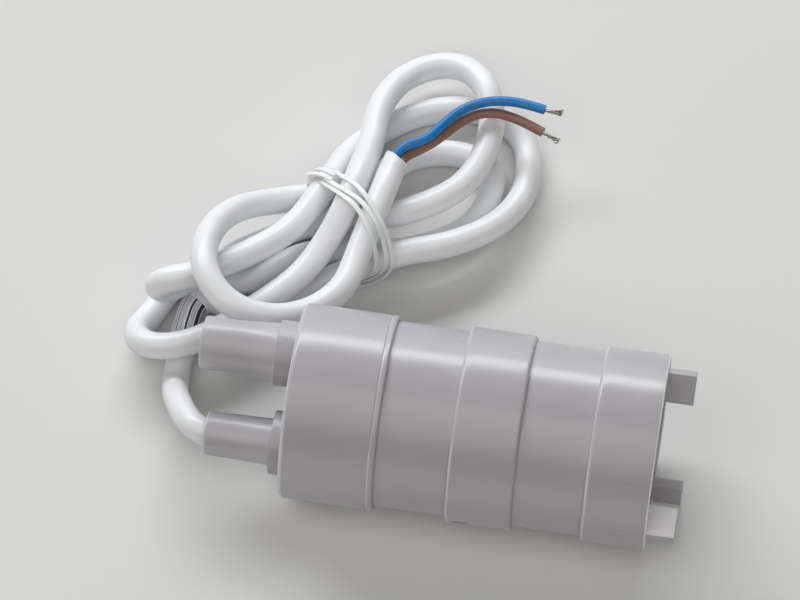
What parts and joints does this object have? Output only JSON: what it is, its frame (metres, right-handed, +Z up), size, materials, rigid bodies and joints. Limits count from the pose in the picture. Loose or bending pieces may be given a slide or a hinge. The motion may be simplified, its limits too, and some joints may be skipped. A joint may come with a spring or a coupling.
{
  "type": "submersible pump",
  "caption": "Small in-line submersible water pump with a hose spigot, a cable spigot, a holed suction cover on short feet and a cable tied in a figure-of-eight hank",
  "frame": {"origin": "on the floor under the middle of the pump, which lies on its side", "axes": "X along the pump axis with the suction feet at +X and the hose spigot at -X, Z up"},
  "size_m": [0.1195, 0.1164, 0.04],
  "materials": {
    "top_cap": "glossy injection-moulded grey plastic",
    "upper_tube": "glossy injection-moulded grey plastic",
    "mid_collar": "glossy injection-moulded grey plastic",
    "lower_tube": "glossy injection-moulded grey plastic",
    "suction_cover": "glossy injection-moulded grey plastic",
    "motor_capsule": "black moulded plastic",
    "capsule_lid": "black moulded plastic",
    "lid_seal": "black nitrile rubber",
    "cable_gland_seal": "dark soft rubber",
    "cable_entry": "white cable sheath",
    "guide_vane_ring": "black moulded plastic",
    "motor_can": "zinc-plated drawn steel",
    "motor_end_bell": "off-white moulded plastic",
    "front_bush": "sintered bronze",
    "rear_bush": "sintered bronze",
    "shaft_seal": "black lip seal",
    "seal_retainer": "stainless washer",
    "magnet_upper": "dark sintered ferrite",
    "magnet_lower": "dark sintered ferrite",
    "motor_screw_a": "stainless screw",
    "motor_screw_b": "stainless screw",
    "shaft": "ground steel",
    "armature_core": "stacked laminations",
    "windings": "enamelled copper wire",
    "commutator": "turned copper",
    "thrust_washer_rear": "natural nylon",
    "thrust_washer_front": "natural nylon",
    "impeller": "natural acetal",
    "impeller_nut": "turned brass",
    "brush_left": "pressed carbon",
    "brush_right": "pressed carbon",
    "spring_leaf_left": "phosphor bronze strip",
    "spring_leaf_right": "phosphor bronze strip",
    "terminal_left": "tinned brass tab",
    "terminal_right": "tinned brass tab",
    "capacitor": "dipped ceramic",
    "inner_lead_blue": "blue core insulation",
    "inner_lead_brown": "brown core insulation",
    "lead_free": "white cable sheath",
    "lead_hank": "white cable sheath",
    "core_blue": "blue core insulation",
    "core_brown": "brown core insulation",
    "strands_blue": "tinned copper strands",
    "strands_brown": "tinned copper strands",
    "tie_band": "clear-white tie",
    "lead_label": "coated paper with plain dark bars"
  },
  "bodies": {
    "casing": {"top_cap": "top_cap", "upper_tube": "upper_tube", "mid_collar": "mid_collar", "lower_tube": "lower_tube", "suction_cover": "suction_cover", "motor_capsule": "motor_capsule", "capsule_lid": "capsule_lid", "lid_seal": "lid_seal", "cable_gland_seal": "cable_gland_seal", "cable_entry": "cable_entry", "guide_vane_ring": "guide_vane_ring", "motor_can": "motor_can", "motor_end_bell": "motor_end_bell", "front_bush": "front_bush", "rear_bush": "rear_bush", "shaft_seal": "shaft_seal", "seal_retainer": "seal_retainer", "magnet_upper": "magnet_upper", "magnet_lower": "magnet_lower", "motor_screw_a": "motor_screw_a", "motor_screw_b": "motor_screw_b", "brush_left": "brush_left", "brush_right": "brush_right", "spring_leaf_left": "spring_leaf_left", "spring_leaf_right": "spring_leaf_right", "terminal_left": "terminal_left", "terminal_right": "terminal_right", "capacitor": "capacitor", "inner_lead_blue": "inner_lead_blue", "inner_lead_brown": "inner_lead_brown", "lead_free": "lead_free", "lead_hank": "lead_hank", "core_blue": "core_blue", "core_brown": "core_brown", "strands_blue": "strands_blue", "strands_brown": "strands_brown", "tie_band": "tie_band", "lead_label": "lead_label"},
    "rotor": {"shaft": "shaft", "armature_core": "armature_core", "windings": "windings", "commutator": "commutator", "thrust_washer_rear": "thrust_washer_rear", "thrust_washer_front": "thrust_washer_front", "impeller": "impeller", "impeller_nut": "impeller_nut"}
  },
  "joints": [
    {"name": "rotor_spin", "type": "hinge", "parent": "casing", "child": "rotor", "pos_m": [0, 0, 0.02], "axis": [1, 0, 0], "continuous": true}
  ]
}
